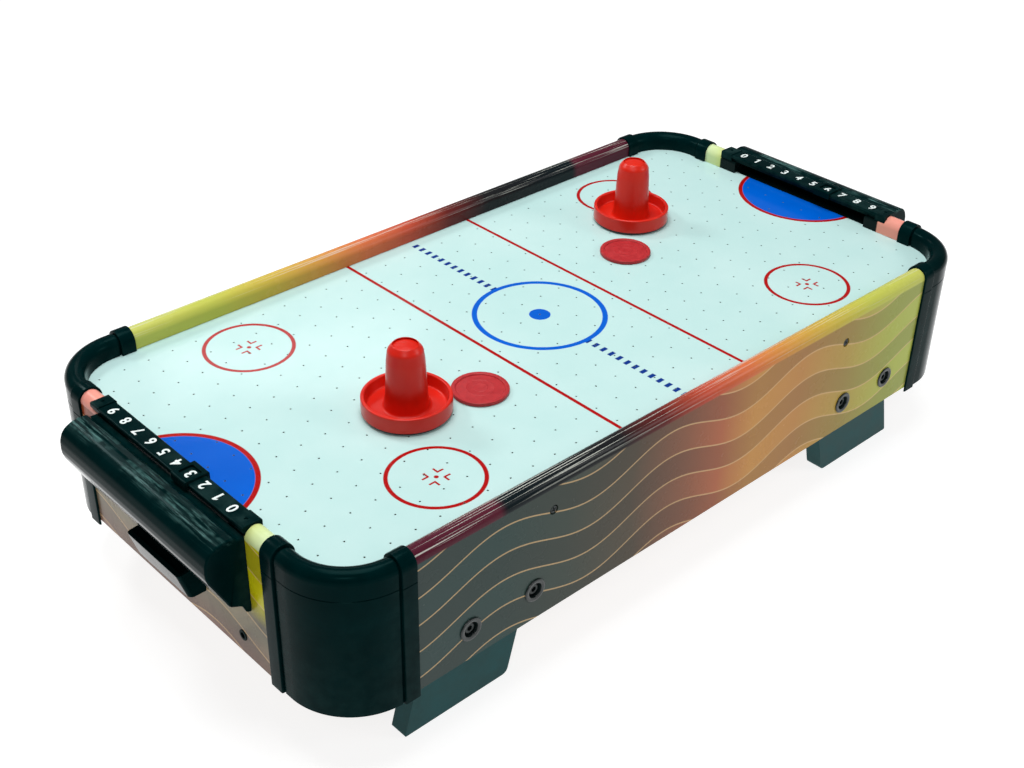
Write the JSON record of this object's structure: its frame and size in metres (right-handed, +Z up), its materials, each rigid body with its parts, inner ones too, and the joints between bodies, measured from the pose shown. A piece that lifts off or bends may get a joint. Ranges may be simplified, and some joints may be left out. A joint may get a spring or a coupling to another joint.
{
  "type": "tabletop air hockey table",
  "caption": "Tabletop air hockey table with rounded corner caps, angled leg boards, goal hoods with catch trays, sliding scorers, an under-floor fan, mallets and pucks.",
  "frame": {"origin": "on the surface the legs stand on, under the middle of the playfield", "axes": "+X along the table's length towards the right goal, +Y across it towards the back side wall, +Z up"},
  "size_m": [0.86, 0.4204, 0.245],
  "materials": {
    "playfield": "glossy printed melamine on thin fibreboard, pierced with fine air holes",
    "base_board": "bare hardboard",
    "wall": "fibreboard wrapped in a glossy printed film",
    "batten": "sawn softwood",
    "black_plastic": "moulded black, semi-gloss",
    "leg": "fibreboard wrapped in black film",
    "bolt": "black oxide steel in a black cup",
    "screw": "zinc plated",
    "fan_plastic": "moulded black, fine grain",
    "stator": "enamelled copper windings",
    "rocker": "moulded red, glossy",
    "lead": "smooth flexible sheath",
    "mallet": "moulded orange-red, glossy",
    "felt": "pressed felt",
    "puck": "moulded crimson, matte"
  },
  "bodies": {
    "table": {"playfield_board": "playfield", "base_board": "base_board", "side_wall_front": "wall", "side_wall_back": "wall", "end_wall_left": "wall", "end_wall_right": "wall", "batten_left": "batten", "batten_right": "batten", "corner_cap_front_left": "black_plastic", "corner_cap_front_right": "black_plastic", "corner_cap_back_left": "black_plastic", "corner_cap_back_right": "black_plastic", "leg_front_left": "leg", "leg_front_right": "leg", "leg_back_left": "leg", "leg_back_right": "leg", "leg_bolt_front_left_1": "bolt", "leg_bolt_front_left_2": "bolt", "leg_bolt_front_right_1": "bolt", "leg_bolt_front_right_2": "bolt", "leg_bolt_back_left_1": "bolt", "leg_bolt_back_left_2": "bolt", "leg_bolt_back_right_1": "bolt", "leg_bolt_back_right_2": "bolt", "batten_screw_front_left": "screw", "batten_screw_front_right": "screw", "batten_screw_back_left": "screw", "batten_screw_back_right": "screw", "goal_hood_left": "black_plastic", "goal_hood_right": "black_plastic", "puck_tray_left": "black_plastic", "puck_tray_right": "black_plastic", "scorer_bar_left": "black_plastic", "scorer_bar_right": "black_plastic", "hood_screw_left_1": "screw", "hood_screw_left_2": "screw", "hood_screw_right_1": "screw", "hood_screw_right_2": "screw", "tray_screw_left": "screw", "tray_screw_right": "screw", "fan_frame": "fan_plastic", "fan_stator": "stator", "fan_guard": "fan_plastic", "fan_screw_front": "screw", "fan_screw_back": "screw", "power_jack": "fan_plastic", "switch_body": "fan_plastic", "jack_lead": "lead", "fan_lead": "lead"},
    "score_marker_left": {"score_marker_left": "black_plastic"},
    "score_marker_right": {"score_marker_right": "black_plastic"},
    "fan_impeller": {"fan_impeller": "fan_plastic"},
    "switch_rocker": {"switch_rocker": "rocker"},
    "mallet_left": {"mallet_shell_left": "mallet", "mallet_felt_left": "felt"},
    "mallet_right": {"mallet_shell_right": "mallet", "mallet_felt_right": "felt"},
    "puck_left": {"puck_left": "puck"},
    "puck_right": {"puck_right": "puck"}
  },
  "joints": [
    {"name": "score_slide_left", "type": "slide", "parent": "table", "child": "score_marker_left", "axis": [0, 1, 0], "range_m": [-0.0567, 0.1134]},
    {"name": "score_slide_right", "type": "slide", "parent": "table", "child": "score_marker_right", "axis": [0, -1, 0], "range_m": [-0.1134, 0.0567]},
    {"name": "fan_spin", "type": "hinge", "parent": "table", "child": "fan_impeller", "pos_m": [0, 0, 0.104], "axis": [0, 0, 1], "continuous": true},
    {"name": "power_switch", "type": "hinge", "parent": "table", "child": "switch_rocker", "pos_m": [0.3955, 0.087, 0.083], "axis": [0, 0, 1], "range_deg": [-16, 0]},
    {"name": "mallet_glide_left", "type": "slide", "parent": "table", "child": "mallet_left", "axis": [1, 0, 0], "range_m": [-0.142, 0]},
    {"name": "mallet_glide_right", "type": "slide", "parent": "table", "child": "mallet_right", "axis": [1, 0, 0], "range_m": [0, 0.129]},
    {"name": "puck_glide_left", "type": "slide", "parent": "table", "child": "puck_left", "axis": [1, 0, 0], "range_m": [-0.002, 0.505]},
    {"name": "puck_glide_right", "type": "slide", "parent": "table", "child": "puck_right", "axis": [1, 0, 0], "range_m": [-0.527, 0.008]}
  ]
}
